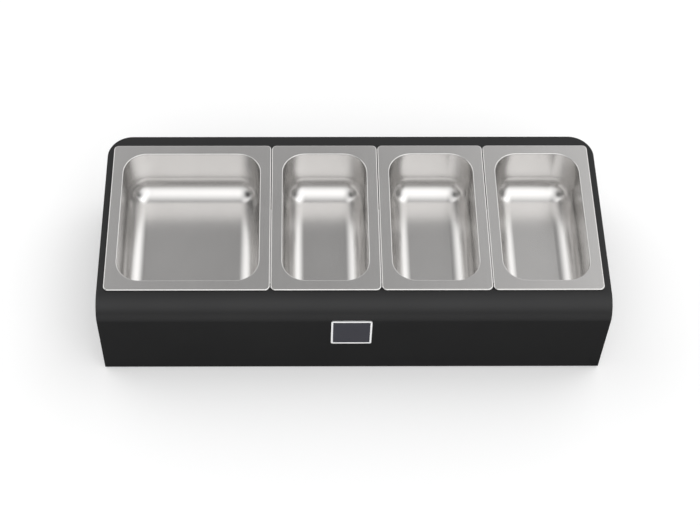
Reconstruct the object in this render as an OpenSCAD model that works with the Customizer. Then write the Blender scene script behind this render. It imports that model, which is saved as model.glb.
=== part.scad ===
// Topping station: a sheet-metal counter housing that holds one large and three small food pans in a row.
// Millimetres, +Z up, front towards -Y, origin under the middle of the whole object on the surface it stands on.

/* [Pans] */
// Depth of every pan's rim, front to back
pan_l = 176; // [150:1:325]
// Width of the large pan's rim
large_pan_w = 162; // [120:1:260]
// Width of a small pan's rim
small_pan_w = 108; // [90:1:180]
// Height of a pan, from under its floor to the top of its rim
pan_h = 60; // [45:1:95]
// Thickness of a pan's sheet
pan_t = 0.8; // [0.6:0.1:1.2]
// Gap between the rims of neighbouring pans
pan_gap = 0.4; // [0.4:0.1:4]
// Width of the flat rim, from its outer edge to the start of the lip
rim_w = 10.5; // [9:0.25:12]
// Radius of the rim's corners, seen from above
rim_corner_r = 5; // [3.5:0.5:9]
// Outside radius of the rim's turned-down edge
rim_edge_r = 1.5; // [1:0.1:3]
// Straight height of the turned-down edge below its bend
rim_leg_h = 0.9; // [0.2:0.1:3]
// Radius over the lip, where the rim turns down into the tub
lip_r = 1; // [0.9:0.1:1.5]
// Radius of the tub's corners, seen from above, at the start of the lip
tub_corner_r = 24; // [23.5:0.5:30]
// Distance that a tub's wall leans in over the height of the pan
wall_lean = 1.5; // [0.5:0.25:2]
// Inside radius between the tub's walls and its floor
floor_r = 21; // [10:0.5:21.5]

/* [Housing] */
// Height of the housing's sheet metal, from its lower edge to the deck
housing_h = 109.2; // [85:0.1:160]
// Thickness of the housing's sheet
sheet_t = 1.5; // [1:0.1:2.5]
// Outside radius of the bend between the deck and the front
front_bend_r = 21; // [10:1:30]
// Flat deck between the front bend and the rims
front_flat = 1; // [1:0.5:40]
// Deck behind the rims
rear_margin = 13; // [10:0.5:40]
// Deck beside the row of rims
side_margin = 6.4; // [5:0.1:30]
// Radius of the housing's rear corners, seen from above
rear_corner_r = 25; // [16:1:40]
// Gap between the pans' tubs and the edge of the window in the deck
tub_gap = 1.7; // [1:0.1:4]
// Radius of the window's corners
window_r = 15; // [6:1:20]

/* [Flanges] */
// Inside radius of the small bends that turn the flanges
flange_bend_r = 0.5; // [0.5:0.1:2]
// Width of the flanges under the deck
upper_flange_w = 9; // [6:0.5:14]
// Width of the side walls' flanges behind the front
front_flange_w = 12; // [8:0.5:20]
// Width of the cuts that part a flange from the sheet beside it
kerf = 0.3; // [0.2:0.1:1]

/* [Feet] */
// Height that the feet hold the sheet metal off the surface
foot_stand = 0.8; // [0.5:0.1:6]
// Diameter of a foot's pad
foot_d = 12; // [9:0.5:20]
// Flange left on either side of a foot's pad
foot_edge = 1; // [0.5:0.1:4]
// Diameter of a foot's neck, in its hole
foot_neck_d = 6; // [4:0.5:7]
// Diameter of the barb that holds a foot in its hole
foot_barb_d = 7.6; // [7.4:0.1:8.8]
// Height of the barb
foot_barb_h = 3; // [2:0.5:5]
// Distance of the feet's centres from the front and the rear of the housing
foot_inset = 36; // [34:1:70]

/* [Badge plate] */
// Width of the badge plate
badge_w = 40; // [34:1:90]
// Height of the badge plate
badge_h = 41.2; // [16:0.1:60]
// Thickness of the badge plate, at its rim
badge_t = 1.5; // [1:0.1:3]
// Radius of the plate's corners
badge_r = 2; // [1:0.25:6]
// Width of the raised rim round the plate
badge_rim_w = 1.9; // [1:0.1:3.5]
// Height of the raised rim above the field
badge_rim_h = 0.4; // [0.2:0.1:0.8]
// Radius of the field's corners
badge_field_r = 0.8; // [0.3:0.1:4]
// Distance of the plate's middle to the right of the housing's middle
badge_shift = -2; // [-150:1:150]
// Height of the badge plate's top edge above the start of the front bend
badge_rise = 2.5; // [0:0.1:4]
// Diameter of the pins behind the plate
badge_pin_d = 2.5; // [2:0.1:4]
// Distance between the two pins
badge_pin_gap = 24; // [14:1:28]
// Length of a pin behind the front sheet
badge_pin_l = 2.6; // [2:0.1:6]
// Diameter of the push-on clips on the pins
badge_clip_d = 9; // [8:0.5:12]
// Thickness of a clip's sheet
badge_clip_t = 0.5; // [0.3:0.1:0.8]
// Rise of a clip from its rim to its hole
badge_clip_rise = 1; // [0.5:0.1:1.4]

/* [Hidden] */
$fn = 96;
// Overrun of every cut beyond the piece that it cuts
over = 1;
// Gap round a neck or pin in its hole
hole_gap = 0.15;
// Gap round a pin in its clip
clip_gap = 0.05;
// Lap of a sheet's straight runs and bends on each other, and of a tub's floor round on its wall and floor
cross = 0.002;

// Heights
z_low = foot_stand;
z_deck = z_low + housing_h;
z_under = z_deck - sheet_t;
z_bend = z_deck - front_bend_r;

// The row of rims, and the housing round it
rim_h = rim_edge_r + rim_leg_h;
row_w = large_pan_w + 3 * small_pan_w + 3 * pan_gap;
front_margin = front_bend_r + front_flat;
housing_w = row_w + 2 * side_margin;
housing_d = front_margin + pan_l + rear_margin;
x_side = housing_w / 2;
y_rear = (housing_d + badge_t) / 2;
y_front = y_rear - housing_d;
y_inside = y_front + sheet_t;
y_bend = y_front + front_bend_r;
y_corner = y_rear - rear_corner_r;
y_pans = y_front + front_margin + pan_l / 2;
x_large_pan = -row_w / 2 + large_pan_w / 2;
x_first_small_pan = -row_w / 2 + large_pan_w + pan_gap + small_pan_w / 2;
small_pan_step = small_pan_w + pan_gap;

// The window in the deck, which stays clear of the tubs
ledge_w = rim_w + lip_r - pan_t - tub_gap;
window_w = row_w - 2 * ledge_w;
window_l = pan_l - 2 * ledge_w;

// Flanges and feet
flange_out_r = flange_bend_r + sheet_t;
lower_flange_w = flange_out_r + 2 * foot_edge + foot_d;
side_flange_y = y_front + lower_flange_w + kerf;
front_flange_l = z_bend - z_low - flange_out_r - 2 * kerf;
side_plate_l = y_corner - y_inside - flange_out_r;
rear_plate_l = housing_w - 2 * rear_corner_r;
plate_h = z_under - z_low - 2 * flange_out_r;
foot_x = x_side - flange_out_r - foot_edge - foot_d / 2;

// A pan's wall, from the start of its lip at the rim to the edge of its flat floor
z_lip = rim_h - lip_r;
z_floor = rim_h - pan_h + pan_t;
draft = atan(wall_lean / pan_h);
wall_l = (z_lip + sin(draft) * (lip_r + floor_r) - floor_r - z_floor) / cos(draft);
floor_corner_r = tub_corner_r - cos(draft) * (lip_r + floor_r) - sin(draft) * wall_l;
floor_inset = rim_w + tub_corner_r - floor_corner_r;

badge_z = z_bend + badge_rise - badge_h / 2;

// Colours
coat = [0.2, 0.2, 0.21];
steel = [0.78, 0.79, 0.8];
plate_grey = [0.3, 0.3, 0.33];
rubber = [0.08, 0.08, 0.08];

// Flat shapes

// A rectangle about the origin with four round corners
module rounded(w, l, r) {
    square([w - 2 * r, l], center = true);
    square([w, l - 2 * r], center = true);
    for (x = [-1, 1], y = [-1, 1])
        translate([x * (w / 2 - r), y * (l / 2 - r)])
            circle(r);
}

// A ring of sheet about the origin
module ring(r, t) {
    difference() {
        circle(r);
        circle(r - t);
    }
}

// The quarter of a ring that lies left of and below the origin
module quarter_ring(r, t) {
    intersection() {
        ring(r, t);
        translate([-r, -r])
            square(r);
    }
}

// Sweeps

// Extrudes a profile along X from the origin: its x becomes Y and its y becomes Z
module along_x(length) {
    rotate([90, 0, 90])
        linear_extrude(length)
            children();
}

// Carries a profile round a rectangle, w by l between the axes of its corners.
// The profile's x is the distance outward from those axes, and its y is the height.
module round_rim(w, l) {
    for (k = [0:3]) {
        along = k % 2 == 0 ? l : w;
        across = k % 2 == 0 ? w : l;
        rotate(90 * k)
            translate([across / 2, along / 2]) {
                rotate([90, 0, 0])
                    linear_extrude(along)
                        children();
                rotate_extrude(angle = 90)
                    children();
            }
    }
}

// Housing

// The section of a flange that turns inward to +Y from the lower edge of a sheet whose outer face is y = 0
module flange_profile(width) {
    translate([flange_out_r, flange_out_r])
        quarter_ring(flange_out_r, sheet_t);
    translate([flange_out_r, 0])
        square([width - flange_out_r, sheet_t]);
    translate([0, flange_out_r])
        square([sheet_t, cross]);
}

// Such a flange along X
module flange(length, width) {
    along_x(length)
        flange_profile(width);
}

// The deck, the front and the flange under the front as one bent sheet, seen from the side
module deck_profile() {
    translate([y_bend, z_under])
        square([y_rear - y_bend, sheet_t]);
    translate([y_bend, z_bend])
        rotate(-90)
            quarter_ring(front_bend_r, sheet_t);
    translate([y_front, z_low + flange_out_r])
        square([sheet_t, z_bend - z_low - flange_out_r]);
    translate([y_front, z_low])
        flange_profile(lower_flange_w);
}

// The housing's outline seen from above, square in front and round at the rear corners
module plan() {
    translate([-x_side, y_front])
        square([housing_w, y_corner - y_front]);
    translate([-x_side + rear_corner_r, y_front])
        square([housing_w - 2 * rear_corner_r, housing_d]);
    for (x = [-1, 1])
        translate([x * (x_side - rear_corner_r), y_corner])
            circle(rear_corner_r);
}

// Deck and front in one sheet, with the window for the pans and a flange under the front
module deck_shell() {
    color(coat)
        difference() {
            intersection() {
                translate([-x_side, 0, 0])
                    along_x(housing_w)
                        deck_profile();
                linear_extrude(z_deck + over)
                    plan();
            }
            translate([0, y_pans, z_under - over])
                linear_extrude(sheet_t + 2 * over)
                    rounded(window_w, window_l, window_r);
            at_badge_pins()
                translate([0, 0, -sheet_t - over])
                    cylinder(d = badge_pin_d + 2 * hole_gap, h = sheet_t + 2 * over);
        }
}

// The right side wall's flat sheet, in between its bends, with a nose that fills the front bend
module side_sheet() {
    translate([x_side - sheet_t, 0, 0])
        along_x(sheet_t) {
            translate([y_inside + flange_out_r, z_low + flange_out_r])
                square([side_plate_l, z_bend - z_low - flange_out_r]);
            translate([y_bend, z_low + flange_out_r])
                square([y_corner + cross - y_bend, plate_h]);
            translate([y_bend, z_bend])
                intersection() {
                    circle(front_bend_r - sheet_t);
                    translate([-front_bend_r, 0])
                        square(front_bend_r);
                }
        }
}

// The right side wall with its three flanges and the rear bend
module side_wall() {
    side_sheet();
    translate([x_side, side_flange_y, z_low])
        rotate(90)
            flange(y_corner - kerf - side_flange_y, lower_flange_w);
    translate([x_side, y_bend + kerf, z_under])
        mirror([0, 0, 1])
            rotate(90)
                flange(y_corner - y_bend - 2 * kerf, upper_flange_w);
    translate([x_side, y_inside, z_bend - kerf])
        rotate([0, 90, 90])
            flange(front_flange_l, front_flange_w);
    translate([x_side - rear_corner_r, y_corner, z_low])
        rotate_extrude(angle = 90)
            translate([rear_corner_r - sheet_t, 0])
                square([sheet_t, z_under - z_low]);
}

// Both side walls and the rear wall in one bent strip, with flanges above and below
module wall_band() {
    color(coat)
        difference() {
            union() {
                side_wall();
                mirror([1, 0, 0])
                    side_wall();
                translate([-rear_plate_l / 2 - cross, y_rear - sheet_t, z_low + flange_out_r])
                    cube([rear_plate_l + 2 * cross, sheet_t, plate_h]);
                translate([rear_plate_l / 2 - kerf, y_rear, z_low])
                    rotate(180)
                        flange(rear_plate_l - 2 * kerf, lower_flange_w);
                translate([rear_plate_l / 2 - kerf, y_rear, z_under])
                    mirror([0, 0, 1])
                        rotate(180)
                            flange(rear_plate_l - 2 * kerf, upper_flange_w);
            }
            for (x = [-1, 1], front = [true, false])
                at_foot(x, front)
                    translate([0, 0, z_low - over])
                        cylinder(d = foot_neck_d + 2 * hole_gap, h = sheet_t + 2 * over);
        }
}

// Feet

// Places a child at a foot, x = -1 for left or 1 for right
module at_foot(x, front) {
    y = front ? y_front + foot_inset : y_rear - foot_inset;
    translate([x * foot_x, y, 0])
        children();
}

// A push-in rubber foot: pad, neck and barb turned as one
module foot(x, front) {
    pad_r = foot_d / 2;
    neck_r = foot_neck_d / 2;
    barb_r = foot_barb_d / 2;
    chamfer = foot_stand / 4;
    z_top = z_low + sheet_t;
    color(rubber)
        at_foot(x, front)
            rotate_extrude()
                polygon([
                    [0, 0],
                    [pad_r - chamfer, 0],
                    [pad_r, chamfer],
                    [pad_r, z_low],
                    [neck_r, z_low],
                    [neck_r, z_top],
                    [barb_r, z_top],
                    [neck_r / 2, z_top + foot_barb_h],
                    [0, z_top + foot_barb_h]
                ]);
}

// Badge plate

// Places a child at each pin, with +Z out of the front of the housing
module at_badge_pins() {
    translate([badge_shift, y_front, badge_z])
        rotate([90, 0, 0])
            for (x = [-1, 1])
                translate([x * badge_pin_gap / 2, 0, 0])
                    children();
}

// A bare plate with a raised rim and two pins behind it
module badge_plate() {
    color(plate_grey) {
        translate([badge_shift, y_front, badge_z])
            rotate([90, 0, 0])
                difference() {
                    linear_extrude(badge_t)
                        rounded(badge_w, badge_h, badge_r);
                    translate([0, 0, badge_t - badge_rim_h])
                        linear_extrude(badge_rim_h + over)
                            rounded(badge_w - 2 * badge_rim_w, badge_h - 2 * badge_rim_w, badge_field_r);
                }
        at_badge_pins()
            translate([0, 0, -sheet_t - badge_pin_l])
                cylinder(d = badge_pin_d, h = sheet_t + badge_pin_l);
    }
}

// Two dished push-on clips that grip the pins behind the front sheet
module badge_clips() {
    bore_r = badge_pin_d / 2 + clip_gap;
    rim_r = badge_clip_d / 2;
    color(steel)
        at_badge_pins()
            translate([0, 0, -sheet_t])
                rotate_extrude()
                    polygon([
                        [rim_r, 0],
                        [rim_r, -badge_clip_t],
                        [bore_r, -badge_clip_rise - badge_clip_t],
                        [bore_r, -badge_clip_rise]
                    ]);
}

// Pans

// The section of a tub inside one of its faces, which lies out by some amount from the inner face
module tub_section(out) {
    intersection() {
        union() {
            translate([tub_corner_r, z_lip])
                rotate(180 - draft)
                    translate([lip_r - out, 0])
                        square([lip_r + floor_r, wall_l]);
            translate([floor_corner_r, z_floor + floor_r])
                circle(floor_r + out + cross);
        }
        translate([floor_corner_r - cross, z_floor - out])
            square([tub_corner_r, pan_h]);
    }
}

// The sheet from the start of the lip to the edge of the floor, x outward from the corner's axis
module tub_profile() {
    intersection() {
        translate([tub_corner_r, z_lip])
            ring(lip_r, pan_t);
        translate([tub_corner_r, z_lip])
            rotate(180 - draft)
                translate([0, -2 * lip_r])
                    square(2 * lip_r);
        translate([tub_corner_r - 2 * lip_r, z_lip])
            square(2 * lip_r);
    }
    difference() {
        tub_section(pan_t);
        tub_section(0);
    }
}

// The rim's turned-down edge, x outward from the axis of the rim's corner
module edge_profile() {
    translate([rim_corner_r - rim_edge_r, rim_leg_h])
        rotate(180)
            quarter_ring(rim_edge_r, pan_t);
    translate([rim_corner_r - pan_t, 0])
        square([pan_t, rim_leg_h]);
}

// A drawn pan with its rim resting on the deck, w wide
module pan(x, w) {
    lip_inset = rim_w + tub_corner_r;
    color(steel)
        translate([x, y_pans, z_deck]) {
            round_rim(w - 2 * rim_corner_r, pan_l - 2 * rim_corner_r)
                edge_profile();
            translate([0, 0, rim_h - pan_t])
                linear_extrude(pan_t)
                    difference() {
                        rounded(w - 2 * rim_edge_r, pan_l - 2 * rim_edge_r, rim_corner_r - rim_edge_r);
                        rounded(w - 2 * rim_w, pan_l - 2 * rim_w, tub_corner_r);
                    }
            round_rim(w - 2 * lip_inset, pan_l - 2 * lip_inset)
                tub_profile();
            translate([0, 0, z_floor - pan_t])
                linear_extrude(pan_t)
                    rounded(w - 2 * floor_inset, pan_l - 2 * floor_inset, floor_corner_r);
        }
}

module pan_large() {
    pan(x_large_pan, large_pan_w);
}

module pan_small(place) {
    pan(x_first_small_pan + place * small_pan_step, small_pan_w);
}

deck_shell();
wall_band();
badge_plate();
badge_clips();
foot(-1, true);  // foot_front_left
foot(1, true);  // foot_front_right
foot(-1, false);  // foot_rear_left
foot(1, false);  // foot_rear_right
pan_large();
pan_small(0);  // pan_small_left
pan_small(1);  // pan_small_middle
pan_small(2);  // pan_small_right
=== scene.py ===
import math

import bmesh
import bpy
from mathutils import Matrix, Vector
from mathutils.geometry import tessellate_polygon


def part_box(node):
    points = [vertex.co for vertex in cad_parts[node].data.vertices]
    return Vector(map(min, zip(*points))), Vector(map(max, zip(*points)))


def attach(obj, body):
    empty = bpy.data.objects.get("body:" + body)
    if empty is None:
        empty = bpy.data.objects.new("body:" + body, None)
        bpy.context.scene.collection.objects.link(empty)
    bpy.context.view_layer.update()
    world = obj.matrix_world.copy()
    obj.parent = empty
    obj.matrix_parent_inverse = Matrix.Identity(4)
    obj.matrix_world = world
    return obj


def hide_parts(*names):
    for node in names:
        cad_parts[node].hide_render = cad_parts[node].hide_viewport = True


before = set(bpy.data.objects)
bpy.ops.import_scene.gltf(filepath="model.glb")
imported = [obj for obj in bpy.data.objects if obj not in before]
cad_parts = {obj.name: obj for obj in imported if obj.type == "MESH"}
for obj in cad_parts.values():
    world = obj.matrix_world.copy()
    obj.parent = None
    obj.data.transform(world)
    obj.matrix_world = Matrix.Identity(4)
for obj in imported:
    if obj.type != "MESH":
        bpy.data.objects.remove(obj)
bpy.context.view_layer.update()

# Sizes that the CAD pieces have, in metres
MM = 0.001
SHEET = 1.5 * MM
FRONT_BEND_R = 21 * MM
REAR_CORNER_R = 25 * MM
FLANGE_BEND_R = 2 * MM
LOWER_FLANGE_W = 16 * MM
WINDOW_W = 469.2 * MM
WINDOW_L = 158 * MM
WINDOW_R = 15 * MM
PAN_SHEET = 0.8 * MM
RIM_W = 10.5 * MM
RIM_CORNER_R = 5 * MM
RIM_H = 2.4 * MM
RIM_CURL_R = RIM_H / 2
LIP_R = 1 * MM
TUB_CORNER_R = 24 * MM
WALL_LEAN = 1.5 * MM
FLOOR_R = 21 * MM
BADGE_R = 2 * MM
BADGE_T = 1.5 * MM
BADGE_RIM_W = 1.9 * MM
BADGE_RIM_H = 0.4 * MM
BADGE_FIELD_R = 0.8 * MM
PIN_D = 2.5 * MM
PIN_GAP = 24 * MM
PIN_HOLE_GAP = 0.15 * MM

# Small roundings that powder coat and tumbling leave on the edges
COAT_EDGE_R = 0.45 * MM
BADGE_EDGE_R = 0.2 * MM

# Steps of an arc for each quarter turn
CORNER_STEPS = 32
BEND_STEPS = 32
LIP_STEPS = 16
LIP_INSIDE_STEPS = 12
CURL_STEPS = 12
CURL_INSIDE_STEPS = 6
SHEET_END_STEPS = 4
BADGE_CORNER_STEPS = 8
FLANGE_STEPS = 8
EDGE_STEPS = 5

# Steps of a full turn
PIN_STEPS = 24

QUARTER = math.pi / 2
TINY = 1e-7

# Places of the housing, from the box of the CAD deck shell
deck_low, deck_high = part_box("deck_shell")
X_SIDE = deck_high.x
Y_FRONT = deck_low.y
Y_REAR = deck_high.y
Z_LOW = deck_low.z
Z_DECK = deck_high.z


# Meshes

def add_piece(name, body, points, faces, normals, materials, indices=None, replaces=()):
    """A smooth mesh piece with the given normals, which rides on a body."""
    mesh = bpy.data.meshes.new(name)
    mesh.from_pydata([tuple(p) for p in points], [], faces)
    mesh.polygons.foreach_set("use_smooth", [True] * len(faces))
    for material in materials:
        mesh.materials.append(material)
    if indices:
        mesh.polygons.foreach_set("material_index", indices)
    mesh.update()
    mesh.normals_split_custom_set_from_vertices([n.normalized() for n in normals])
    piece = bpy.data.objects.new(name, mesh)
    bpy.context.scene.collection.objects.link(piece)
    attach(piece, body)
    if replaces:
        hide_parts(*replaces)


class Section:
    """A sheet's section: points (inset, height), normals, and the inset of the corners' axes."""

    def __init__(self):
        self.points = []
        self.normals = []
        self.axes = []

    def point(self, inset, height, normal, axis):
        self.points.append((inset, height))
        self.normals.append(normal)
        self.axes.append(axis)

    def arc(self, centre, radius, start, end, steps, axis, outward=1):
        """An arc whose normal leaves the centre, or comes to it where outward is -1."""
        for step in range(steps + 1):
            turn = start + (end - start) * step / steps
            normal = (math.cos(turn), math.sin(turn))
            self.point(
                centre[0] + radius * normal[0],
                centre[1] + radius * normal[1],
                (outward * normal[0], outward * normal[1]),
                axis,
            )


def swept_rectangle(section, width, length, place, steps, closed=True):
    """Carries a section round a rectangle with round corners, in the plane of X and Y."""
    points = []
    normals = []
    for (inset, height), (across, up), axis in zip(section.points, section.normals, section.axes):
        radius = axis - inset
        for corner in range(4):
            turn_to_corner = QUARTER * (corner + 0.5)
            x = math.copysign(width / 2 - axis, math.cos(turn_to_corner))
            y = math.copysign(length / 2 - axis, math.sin(turn_to_corner))
            for step in range(steps + 1):
                turn = QUARTER * (corner + step / steps)
                direction = Vector((math.cos(turn), math.sin(turn), 0))
                points.append(place + Vector((x, y, height)) + direction * radius)
                normals.append(direction * -across + Vector((0, 0, up)))
    ring = 4 * (steps + 1)
    rows = len(section.points)
    faces = []
    for row in range(rows if closed else rows - 1):
        here = row * ring
        there = (row + 1) % rows * ring
        for k in range(ring):
            after = (k + 1) % ring
            faces.append((here + k, here + after, there + after, there + k))
    return points, normals, faces, ring


# Pans

def pan_section(height):
    """The section of a drawn pan: from the rim's curl over the lip to the floor, and back."""
    top = RIM_H
    floor = RIM_H - height + PAN_SHEET
    lean = math.atan(WALL_LEAN / height)
    tub_axis = RIM_W + TUB_CORNER_R
    round_sum = LIP_R + FLOOR_R
    wall = (top - LIP_R + math.sin(lean) * round_sum - FLOOR_R - floor) / math.cos(lean)
    floor_edge = RIM_W + math.cos(lean) * round_sum + math.sin(lean) * wall
    lip_centre = (RIM_W, top - LIP_R)
    floor_centre = (floor_edge, floor + FLOOR_R)
    curl_centre = (RIM_CURL_R, RIM_CURL_R)
    sheet_end = (RIM_CURL_R, PAN_SHEET / 2)
    wall_turn = 2 * QUARTER + lean
    section = Section()
    section.arc(curl_centre, RIM_CURL_R, -QUARTER, -3 * QUARTER, 2 * CURL_STEPS, RIM_CORNER_R)
    section.arc(lip_centre, LIP_R, QUARTER, lean, LIP_STEPS, tub_axis)
    section.arc(floor_centre, FLOOR_R, wall_turn, 3 * QUARTER, BEND_STEPS, tub_axis, -1)
    inside = len(section.points)
    section.arc(floor_centre, FLOOR_R + PAN_SHEET, 3 * QUARTER, wall_turn, BEND_STEPS, tub_axis)
    section.arc(lip_centre, LIP_R - PAN_SHEET, lean, QUARTER, LIP_INSIDE_STEPS, tub_axis, -1)
    section.arc(
        curl_centre, RIM_CURL_R - PAN_SHEET, QUARTER, 3 * QUARTER, 2 * CURL_INSIDE_STEPS,
        RIM_CORNER_R, -1,
    )
    section.arc(sheet_end, PAN_SHEET / 2, QUARTER, -QUARTER, 2 * SHEET_END_STEPS, RIM_CORNER_R)
    return section, inside


def add_pan(node, body, material):
    """A drawn pan. One flat face above and one below make the middle of its floor."""
    low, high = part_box(node)
    height = high.z - low.z
    place = Vector(((low.x + high.x) / 2, (low.y + high.y) / 2, high.z - RIM_H))
    section, inside = pan_section(height)
    points, normals, faces, ring = swept_rectangle(
        section, high.x - low.x, high.y - low.y, place, CORNER_STEPS
    )
    floor_row = (inside - 1) * ring
    faces = [face for face in faces if face[0] // ring != inside - 1]
    faces.append(tuple(range(floor_row, floor_row + ring)))
    faces.append(tuple(range(floor_row + 2 * ring - 1, floor_row + ring - 1, -1)))
    add_piece(
        node + "_drawn", body, points, faces, normals, [material], replaces=[node]
    )


# Folded sheet

class Fold:
    """Carries a flat pattern onto a sheet with bends.

    u is along X, and v runs from the rear edge along the outer face.
    """

    def __init__(self, start, direction, steps):
        self.parts = []
        here = Vector(start)
        turn = direction
        v = 0
        for length, radius in steps:
            self.parts.append((v, here.copy(), turn, radius))
            if radius:
                centre = here + radius * side(turn)
                turn += QUARTER
                here = centre - radius * side(turn)
            else:
                here += length * along(turn)
            v += length
        self.length = v

    def place(self, u, v, depth):
        """The point at a depth below the outer face, the direction of v, and the way out."""
        reached = [part for part in self.parts if v >= part[0] - TINY]
        start, here, turn, radius = reached[-1]
        if radius:
            centre = here + radius * side(turn)
            turn += (v - start) / radius
            point = centre - (radius - depth) * side(turn)
        else:
            point = here + (v - start) * along(turn) + depth * side(turn)
        return Vector((u, point.x, point.y)), along(turn), -side(turn)


def along(turn):
    """The direction of travel in the plane of Y and Z."""
    return Vector((math.cos(turn), math.sin(turn)))


def side(turn):
    """The direction to the left of travel, which is into the sheet."""
    return Vector((-math.sin(turn), math.cos(turn)))


def corner_arc(centre, radius, start, end, steps):
    """Points of an arc in the flat pattern."""
    return [
        Vector((
            centre[0] + radius * math.cos(start + (end - start) * k / steps),
            centre[1] + radius * math.sin(start + (end - start) * k / steps),
        ))
        for k in range(steps + 1)
    ]


def outward_normals(loop):
    """The mitred normals of a loop that runs with its sheet on the left."""
    normals = []
    for k, point in enumerate(loop):
        before = (point - loop[k - 1]).normalized()
        after = (loop[(k + 1) % len(loop)] - point).normalized()
        out = Vector((before.y + after.y, -before.x - after.x)).normalized()
        normals.append(out / max(out.dot(Vector((after.y, -after.x))), 0.5))
    return normals


def split_loops(loops, cuts):
    """Adds a point to each loop wherever it crosses a cut of constant v."""
    result = []
    for loop in loops:
        points = []
        for k, point in enumerate(loop):
            following = loop[(k + 1) % len(loop)]
            points.append(point)
            low, high = sorted((point.y, following.y))
            crossed = [c for c in cuts if low + TINY < c < high - TINY]
            if point.y > following.y:
                crossed.reverse()
            for cut in crossed:
                share = (cut - point.y) / (following.y - point.y)
                points.append(point.lerp(following, share))
        result.append(points)
    return result


def pattern_faces(loops, cuts):
    """Points and faces that fill the loops, with an edge along every cut."""
    flat = [p.to_3d() for loop in loops for p in loop]
    sheet = bmesh.new()
    verts = [sheet.verts.new(p) for p in flat]
    for triangle in tessellate_polygon([[p.to_3d() for p in loop] for loop in loops]):
        sheet.faces.new([verts[k] for k in triangle])
    for cut in cuts:
        bmesh.ops.bisect_plane(
            sheet, geom=sheet.verts[:] + sheet.edges[:] + sheet.faces[:],
            dist=TINY, plane_co=(0, cut, 0), plane_no=(0, 1, 0),
        )
    bmesh.ops.recalc_face_normals(sheet, faces=sheet.faces)
    sheet.verts.index_update()
    points = [v.co.to_2d() for v in sheet.verts]
    faces = [[v.index for v in face.verts] for face in sheet.faces]
    if sheet.faces[0].normal.z < 0:
        faces = [face[::-1] for face in faces]
    sheet.free()
    return points, faces


def folded_sheet(loops, fold, cuts, thickness, edge_r):
    """A sheet with rounded edges, folded from a flat pattern whose loops have it on their left."""
    loops = split_loops(loops, cuts)
    outs = [outward_normals(loop) for loop in loops]
    inner_loops = [
        [p - edge_r * n for p, n in zip(loop, out)] for loop, out in zip(loops, outs)
    ]
    flat_points, flat_faces = pattern_faces(inner_loops, cuts)
    points = []
    normals = []
    faces = []

    def add(u, v, depth, out, facing):
        point, forward, outside = fold(u, v, depth)
        normal = Vector((out.x, 0, 0)) + out.y * forward + facing * outside
        points.append(point)
        normals.append(normal)

    level = Vector((0, 0))
    for depth, facing in ((0, 1), (thickness, -1)):
        first = len(points)
        for p in flat_points:
            add(p.x, p.y, depth, level, facing)
        for face in flat_faces:
            corners = [first + k for k in face]
            faces.append(corners[::-1] if facing > 0 else corners)
    edge = []
    for step in range(EDGE_STEPS + 1):
        turn = QUARTER * step / EDGE_STEPS
        edge.append((edge_r * math.sin(turn), edge_r * (1 - math.cos(turn)), turn))
    edge += [(out, thickness - depth, 2 * QUARTER - turn) for out, depth, turn in edge[::-1]]
    for loop, out in zip(inner_loops, outs):
        first = len(points)
        for shift, depth, turn in edge:
            for p, n in zip(loop, out):
                at = p + shift * n
                add(at.x, at.y, depth, n.normalized() * math.sin(turn), math.cos(turn))
        count = len(loop)
        for row in range(len(edge) - 1):
            for k in range(count):
                after = (k + 1) % count
                here = first + row * count
                faces.append((here + k, here + after, here + count + after, here + count + k))
    return points, normals, faces


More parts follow.
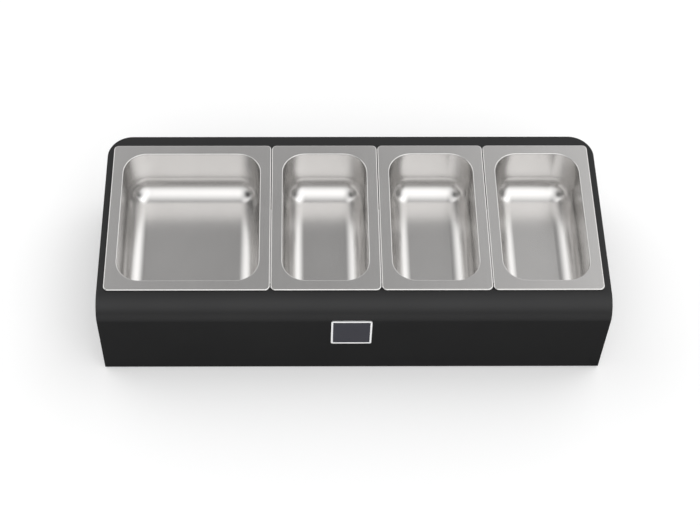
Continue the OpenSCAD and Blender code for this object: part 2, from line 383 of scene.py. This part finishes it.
def add_deck(material):
    """Deck, front bend, front and lower flange, folded from one flat pattern."""
    z_bend = Z_DECK - FRONT_BEND_R
    deck_l = Y_REAR - Y_FRONT - FRONT_BEND_R
    front_l = z_bend - Z_LOW - FLANGE_BEND_R
    v_bend = deck_l + QUARTER * FRONT_BEND_R
    v_flange = v_bend + front_l
    sheet = Fold(
        (Y_REAR, Z_DECK), 2 * QUARTER,
        [
            (deck_l, 0),
            (QUARTER * FRONT_BEND_R, FRONT_BEND_R),
            (front_l, 0),
            (QUARTER * FLANGE_BEND_R, FLANGE_BEND_R),
            (LOWER_FLANGE_W - FLANGE_BEND_R, 0),
        ],
    )

    def fold(u, v, depth):
        point, forward, outside = sheet.place(u, v, depth)
        return point, Vector((0, forward.x, forward.y)), Vector((0, outside.x, outside.y))

    corner = X_SIDE - REAR_CORNER_R
    right = [Vector((X_SIDE, sheet.length))]
    right += corner_arc((corner, REAR_CORNER_R), REAR_CORNER_R, 0, -QUARTER, CORNER_STEPS)
    outline = [Vector((-p.x, p.y)) for p in reversed(right)] + right
    outline.reverse()
    pan_low, pan_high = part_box("pan_large")
    window_v = Y_REAR - (pan_low.y + pan_high.y) / 2
    window = []
    for corner_turn in range(4):
        middle = QUARTER * (corner_turn + 0.5)
        centre = (
            math.copysign(WINDOW_W / 2 - WINDOW_R, math.cos(middle)),
            window_v + math.copysign(WINDOW_L / 2 - WINDOW_R, math.sin(middle)),
        )
        window += corner_arc(
            centre, WINDOW_R, QUARTER * corner_turn, QUARTER * (corner_turn + 1),
            CORNER_STEPS // 2,
        )
    badge_low, badge_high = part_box("badge_plate")
    pin_v = v_bend + z_bend - (badge_low.z + badge_high.z) / 2
    holes = [
        corner_arc(
            ((badge_low.x + badge_high.x) / 2 + hand * PIN_GAP / 2, pin_v),
            PIN_D / 2 + PIN_HOLE_GAP, 0, 4 * QUARTER, PIN_STEPS,
        )[:-1]
        for hand in (-1, 1)
    ]
    cuts = [deck_l + QUARTER * FRONT_BEND_R * k / BEND_STEPS for k in range(BEND_STEPS + 1)]
    cuts += [
        v_flange + QUARTER * FLANGE_BEND_R * k / FLANGE_STEPS for k in range(FLANGE_STEPS + 1)
    ]
    loops = [outline] + [list(reversed(loop)) for loop in [window] + holes]
    points, normals, faces = folded_sheet(loops, fold, cuts, SHEET, COAT_EDGE_R)
    add_piece(
        "deck_and_front", "stand", points, faces, normals, [material],
        replaces=["deck_shell"],
    )


# Badge plate

def add_badge(plate_material, rim_material):
    """A bare plate with a raised rim, swept lying down and then stood up against the front."""
    low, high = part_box("badge_plate")
    rim_inner = BADGE_RIM_W + BADGE_FIELD_R
    top = BADGE_T
    field = BADGE_T - BADGE_RIM_H
    r = BADGE_EDGE_R
    section = Section()
    section.arc((r, r), r, -QUARTER, -2 * QUARTER, EDGE_STEPS, BADGE_R)
    section.arc((r, top - r), r, 2 * QUARTER, QUARTER, EDGE_STEPS, BADGE_R)
    section.arc((BADGE_RIM_W - r, top - r), r, QUARTER, 0, EDGE_STEPS, rim_inner)
    section.arc(
        (BADGE_RIM_W + r, field + r), r, 2 * QUARTER, 3 * QUARTER, EDGE_STEPS, rim_inner, -1
    )
    points, normals, faces, ring = swept_rectangle(
        section, high.x - low.x, high.z - low.z, Vector((0, 0, 0)), BADGE_CORNER_STEPS,
        closed=False,
    )
    rim_rows = len(section.points) - EDGE_STEPS - 1
    indices = [1 if face[0] // ring < rim_rows else 0 for face in faces]
    last = len(points) - ring
    faces.append(tuple(range(last, last + ring)))
    faces.append(tuple(range(ring - 1, -1, -1)))
    indices += [0, 0]
    middle = Vector(((low.x + high.x) / 2, Y_FRONT, (low.z + high.z) / 2))

    def stand(v):
        return Vector((v[0], -v[2], v[1]))

    points = [middle + stand(p) for p in points]
    normals = [stand(n) for n in normals]
    add_piece(
        "badge_plate_body", "stand", points, faces, normals,
        [plate_material, rim_material], indices, replaces=["badge_plate"],
    )
    for hand in (-1, 1):
        place = middle + Vector((hand * PIN_GAP / 2, 0, 0))
        add_pin(hand, place, high.y - Y_FRONT, plate_material)


def add_pin(hand, place, length, material):
    """A pin behind the badge plate, along Y from the front's outer face."""
    r = PIN_D / 2
    rows = [(r, 0, (1, 0))]
    for k in range(EDGE_STEPS + 1):
        turn = QUARTER * k / EDGE_STEPS
        rows.append((
            r - BADGE_EDGE_R * (1 - math.cos(turn)),
            length - BADGE_EDGE_R * (1 - math.sin(turn)),
            (math.cos(turn), math.sin(turn)),
        ))
    points = []
    normals = []
    for radius, y, (across, forward) in rows:
        for k in range(PIN_STEPS):
            turn = 4 * QUARTER * k / PIN_STEPS
            out = Vector((math.cos(turn), 0, math.sin(turn)))
            points.append(place + out * radius + Vector((0, y, 0)))
            normals.append(out * across + Vector((0, forward, 0)))
    faces = []
    for row in range(len(rows) - 1):
        for k in range(PIN_STEPS):
            after = (k + 1) % PIN_STEPS
            here = row * PIN_STEPS
            there = here + PIN_STEPS
            faces.append((here + k, there + k, there + after, here + after))
    last = len(points) - PIN_STEPS
    faces.append(tuple(range(last + PIN_STEPS - 1, last - 1, -1)))
    faces.append(tuple(range(PIN_STEPS)))
    name = "badge_pin_left" if hand < 0 else "badge_pin_right"
    add_piece(name, "stand", points, faces, normals, [material])


# Materials

# Sockets of the mix node that hold its two colours and their mix
COLOUR_A = 6
COLOUR_B = 7
COLOUR_OUT = 2


class Nodes:
    """A small helper that adds nodes to a material or world and links them."""

    def __init__(self, tree):
        self.tree = tree
        tree.nodes.clear()

    def add(self, kind, **values):
        """A node with its inputs set, or linked where a value is another node's output."""
        node = self.tree.nodes.new(kind)
        for name, value in values.items():
            key = int(name) if name.isdigit() else name.replace("_", " ")
            socket = node.inputs[key]
            if isinstance(value, bpy.types.NodeSocket):
                self.tree.links.new(value, socket)
            else:
                socket.default_value = value
        return node

    def link(self, output, node, name):
        self.tree.links.new(output, node.inputs[name])

    def calculate(self, operation, *values):
        """The result of a calculation with values or outputs."""
        node = self.add("ShaderNodeMath", **{str(k): value for k, value in enumerate(values)})
        node.operation = operation
        return node.outputs[0]

    def mix(self, factor, first, second):
        """A mix of two shader nodes."""
        node = self.add("ShaderNodeMixShader", Fac=factor)
        self.link(first.outputs[0], node, 1)
        self.link(second.outputs[0], node, 2)
        return node

    def bump(self, noise, strength, distance):
        """A normal with a noise's relief on it."""
        node = self.add(
            "ShaderNodeBump", Height=noise.outputs["Fac"], Strength=strength, Distance=distance
        )
        return node.outputs[0]


def new_material(name):
    material = bpy.data.materials.new(name)
    material.use_nodes = True
    return material, Nodes(material.node_tree)


def scaled_noise(nodes, scale, detail, stretch=(1, 1, 1)):
    """Noise over the object's own space, whose features are 1/scale metres across."""
    where = nodes.add("ShaderNodeTexCoord")
    mapping = nodes.add("ShaderNodeMapping", Vector=where.outputs["Object"], Scale=stretch)
    return nodes.add("ShaderNodeTexNoise", Vector=mapping.outputs[0], Scale=scale, Detail=detail)


def spread(nodes, noise, low, high):
    """A noise's value spread over a range."""
    limits = nodes.add("ShaderNodeMapRange", Value=noise.outputs["Fac"])
    limits.inputs["From Min"].default_value = 0.3
    limits.inputs["From Max"].default_value = 0.7
    limits.inputs["To Min"].default_value = low
    limits.inputs["To Max"].default_value = high
    return limits.outputs[0]


def finish(nodes, shader, output_kind="ShaderNodeOutputMaterial"):
    """Links the last shader to the output of its material or world."""
    nodes.link(shader.outputs[0], nodes.add(output_kind), "Surface")


def blend(nodes, noise, low, high):
    """A colour between two, by a noise."""
    mix = nodes.add("ShaderNodeMix")
    mix.data_type = "RGBA"
    nodes.link(spread(nodes, noise, 0, 1), mix, "Factor")
    mix.inputs[COLOUR_A].default_value = (*low, 1)
    mix.inputs[COLOUR_B].default_value = (*high, 1)
    return mix.outputs[COLOUR_OUT]


def powder_coat():
    """Black coat with a fine grain. Its dark edge tint keeps the white floor out of the front."""
    material, nodes = new_material("powder_coat")
    grain = scaled_noise(nodes, 1600, 3)
    patches = scaled_noise(nodes, 18, 2)
    colour = blend(nodes, patches, (0.041, 0.041, 0.0415), (0.043, 0.043, 0.0435))
    relief = nodes.bump(grain, 0.08, 0.05 * MM)
    shader = nodes.add("ShaderNodeBsdfPrincipled", Base_Color=colour, Normal=relief)
    nodes.link(spread(nodes, grain, 0.28, 0.34), shader, "Roughness")
    shader.inputs["Metallic"].default_value = 0.43
    shader.inputs["Specular IOR Level"].default_value = 0.0
    shader.inputs["Specular Tint"].default_value = (0, 0, 0, 1)
    finish(nodes, shader)
    return material


def drawn_steel():
    """Satin steel, slightly warm, with faint streaks along Y."""
    material, nodes = new_material("drawn_steel")
    streaks = scaled_noise(nodes, 700, 2, stretch=(1, 0.05, 1))
    clouds = scaled_noise(nodes, 28, 3)
    colour = blend(nodes, clouds, (0.655, 0.645, 0.635), (0.675, 0.665, 0.655))
    relief = nodes.bump(streaks, 0.006, 0.02 * MM)
    shader = nodes.add("ShaderNodeBsdfPrincipled", Base_Color=colour, Metallic=1.0, Normal=relief)
    nodes.link(spread(nodes, streaks, 0.25, 0.265), shader, "Roughness")
    finish(nodes, shader)
    return material


def plate_field():
    """The dark satin field of the badge plate."""
    material, nodes = new_material("badge_field")
    grain = scaled_noise(nodes, 2500, 2)
    colour = blend(nodes, grain, (0.055, 0.055, 0.068), (0.065, 0.065, 0.08))
    relief = nodes.bump(grain, 0.1, 0.02 * MM)
    shader = nodes.add(
        "ShaderNodeBsdfPrincipled", Base_Color=colour, Roughness=0.45, Normal=relief
    )
    shader.inputs["Specular IOR Level"].default_value = 0.1
    finish(nodes, shader)
    return material


def plate_rim():
    """The bright metal of the badge plate's rim and sides."""
    material, nodes = new_material("badge_rim")
    grain = scaled_noise(nodes, 1200, 2)
    colour = blend(nodes, grain, (0.95, 0.95, 0.95), (0.98, 0.98, 0.98))
    shader = nodes.add(
        "ShaderNodeBsdfPrincipled", Base_Color=colour, Metallic=1.0, Roughness=0.4
    )
    finish(nodes, shader)
    return material


def spring_steel():
    """Plain steel of the clips."""
    material, nodes = new_material("spring_steel")
    grain = scaled_noise(nodes, 1500, 2)
    colour = blend(nodes, grain, (0.42, 0.42, 0.42), (0.5, 0.5, 0.5))
    shader = nodes.add(
        "ShaderNodeBsdfPrincipled", Base_Color=colour, Metallic=1.0, Roughness=0.3
    )
    finish(nodes, shader)
    return material


def foot_rubber():
    """Matt black rubber."""
    material, nodes = new_material("foot_rubber")
    grain = scaled_noise(nodes, 1200, 2)
    colour = blend(nodes, grain, (0.018, 0.018, 0.018), (0.026, 0.026, 0.026))
    relief = nodes.bump(grain, 0.2, 0.05 * MM)
    shader = nodes.add(
        "ShaderNodeBsdfPrincipled", Base_Color=colour, Roughness=0.75, Normal=relief
    )
    finish(nodes, shader)
    return material


def give_material(node, material):
    """A CAD node keeps its shape and gets a material in its slots."""
    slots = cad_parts[node].material_slots
    if len(slots) == 0:
        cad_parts[node].data.materials.append(material)
    for slot in slots:
        slot.material = material


# Studio

FLOOR_HALF = 4
FLOOR_GLARE = 0.25

# The sky's level, and its soft light and dark patches: azimuth and elevation in degrees, strength
# and narrowness. Azimuth 0 is behind the object and 90 at its right.
SKY_LEVEL = 0.95
SKY_PATCHES = (
    (165, 48, 0.8, 5.5),
    (72, 54, 1.6, 10),
    (300, 52, 1.15, 9),
    (352, 67, -1.18, 7.5),
    (248, 38, -1.5, 20),
    (100, 33, -1.5, 25),
    (22, 34, 0.7, 50),
    (180, 0, -0.6, 9),
)


def add_floor():
    """A white floor that keeps the object's shadow and throws little light back on it."""
    mesh = bpy.data.meshes.new("floor")
    signs = ((-1, -1), (1, -1), (1, 1), (-1, 1))
    corners = [(x * FLOOR_HALF, y * FLOOR_HALF, 0) for x, y in signs]
    mesh.from_pydata(corners, [], [(0, 1, 2, 3)])
    floor = bpy.data.objects.new("floor", mesh)
    bpy.context.scene.collection.objects.link(floor)
    material, nodes = new_material("floor")
    paths = nodes.add("ShaderNodeLightPath")
    seen = nodes.calculate(
        "MAXIMUM", paths.outputs["Is Camera Ray"], paths.outputs["Is Glossy Ray"]
    )
    seen = nodes.calculate("MAXIMUM", seen, paths.outputs["Is Transmission Ray"])
    dim = nodes.add("ShaderNodeBsdfDiffuse", Color=(0.1, 0.1, 0.1, 1))
    white = nodes.add("ShaderNodeBsdfDiffuse", Color=(0.98, 0.98, 0.98, 1))
    glare = nodes.add("ShaderNodeEmission", Color=(1, 1, 1, 1), Strength=1.0)
    pale = nodes.mix(FLOOR_GLARE, white, glare)
    finish(nodes, nodes.mix(seen, dim, pale))
    mesh.materials.append(material)


def glow(nodes, where, total, azimuth, elevation, strength, narrowness):
    """One soft patch of the sky, added to the total."""
    turn = math.radians(azimuth)
    rise = math.radians(elevation)
    towards = (math.sin(turn) * math.cos(rise), math.cos(turn) * math.cos(rise), math.sin(rise))
    near = nodes.add("ShaderNodeVectorMath", **{"0": where, "1": towards})
    near.operation = "DOT_PRODUCT"
    front = nodes.calculate("MAXIMUM", near.outputs["Value"], 0)
    patch = nodes.calculate("POWER", front, narrowness)
    return nodes.calculate("MULTIPLY_ADD", patch, strength, total)


def add_world():
    """A soft studio sky with wide lights and darker gaps between them. The camera sees white."""
    world = bpy.data.worlds.new("studio")
    world.use_nodes = True
    bpy.context.scene.world = world
    nodes = Nodes(world.node_tree)
    where = nodes.add("ShaderNodeTexCoord").outputs["Generated"]
    total = SKY_LEVEL
    for patch in SKY_PATCHES:
        total = glow(nodes, where, total, *patch)
    level = nodes.calculate("MAXIMUM", total, 0)
    paths = nodes.add("ShaderNodeLightPath")
    sky = nodes.add("ShaderNodeBackground", Color=(1, 1, 1, 1), Strength=level)
    white = nodes.add("ShaderNodeBackground", Color=(1, 1, 1, 1), Strength=1.0)
    seen = nodes.mix(paths.outputs["Is Camera Ray"], sky, white)
    finish(nodes, seen, "ShaderNodeOutputWorld")


# Camera, from a fit to the photograph's rims: place in millimetres, angles in degrees
CAMERA_X = -51.74
CAMERA_Y = -919.92
CAMERA_Z = 1440.83
CAMERA_PITCH = 53.894
CAMERA_YAW = 0.539
CAMERA_ROLL = 0.367
CAMERA_LENS = 83.269
CAMERA_SHIFT_X = 0.0578
CAMERA_SHIFT_Y = -0.1179


def add_camera():
    """The camera looks along +Y and down, turned to the right by the yaw."""
    pitch = math.radians(CAMERA_PITCH)
    yaw = math.radians(CAMERA_YAW)
    roll = math.radians(CAMERA_ROLL)
    forward = Vector((
        math.sin(yaw) * math.cos(pitch), math.cos(yaw) * math.cos(pitch), -math.sin(pitch)
    ))
    right = Vector((math.cos(yaw), -math.sin(yaw), 0))
    up = right.cross(forward)
    camera_right = right * math.cos(roll) + up * math.sin(roll)
    camera_up = up * math.cos(roll) - right * math.sin(roll)
    lens = bpy.data.cameras.new("camera")
    lens.lens = CAMERA_LENS
    lens.sensor_width = 36
    lens.sensor_fit = "HORIZONTAL"
    lens.shift_x = CAMERA_SHIFT_X
    lens.shift_y = CAMERA_SHIFT_Y
    lens.clip_end = 100
    camera = bpy.data.objects.new("camera", lens)
    matrix = camera.matrix_world.to_3x3()
    matrix.col[0] = camera_right
    matrix.col[1] = camera_up
    matrix.col[2] = -forward
    camera.matrix_world = matrix.to_4x4()
    camera.location = Vector((CAMERA_X, CAMERA_Y, CAMERA_Z)) * MM
    bpy.context.scene.collection.objects.link(camera)
    bpy.context.scene.camera = camera


steel = drawn_steel()
coat = powder_coat()
for pan_node, pan_body in (
    ("pan_large", "large_pan"),
    ("pan_small_left", "small_pan_left"),
    ("pan_small_middle", "small_pan_middle"),
    ("pan_small_right", "small_pan_right"),
):
    add_pan(pan_node, pan_body, steel)
add_deck(coat)
add_badge(plate_field(), plate_rim())
give_material("wall_band", coat)
give_material("badge_clips", spring_steel())
rubber = foot_rubber()
for foot_node in ("foot_front_left", "foot_front_right", "foot_rear_left", "foot_rear_right"):
    give_material(foot_node, rubber)

add_floor()
add_world()
add_camera()

bpy.context.scene.view_settings.view_transform = "Standard"
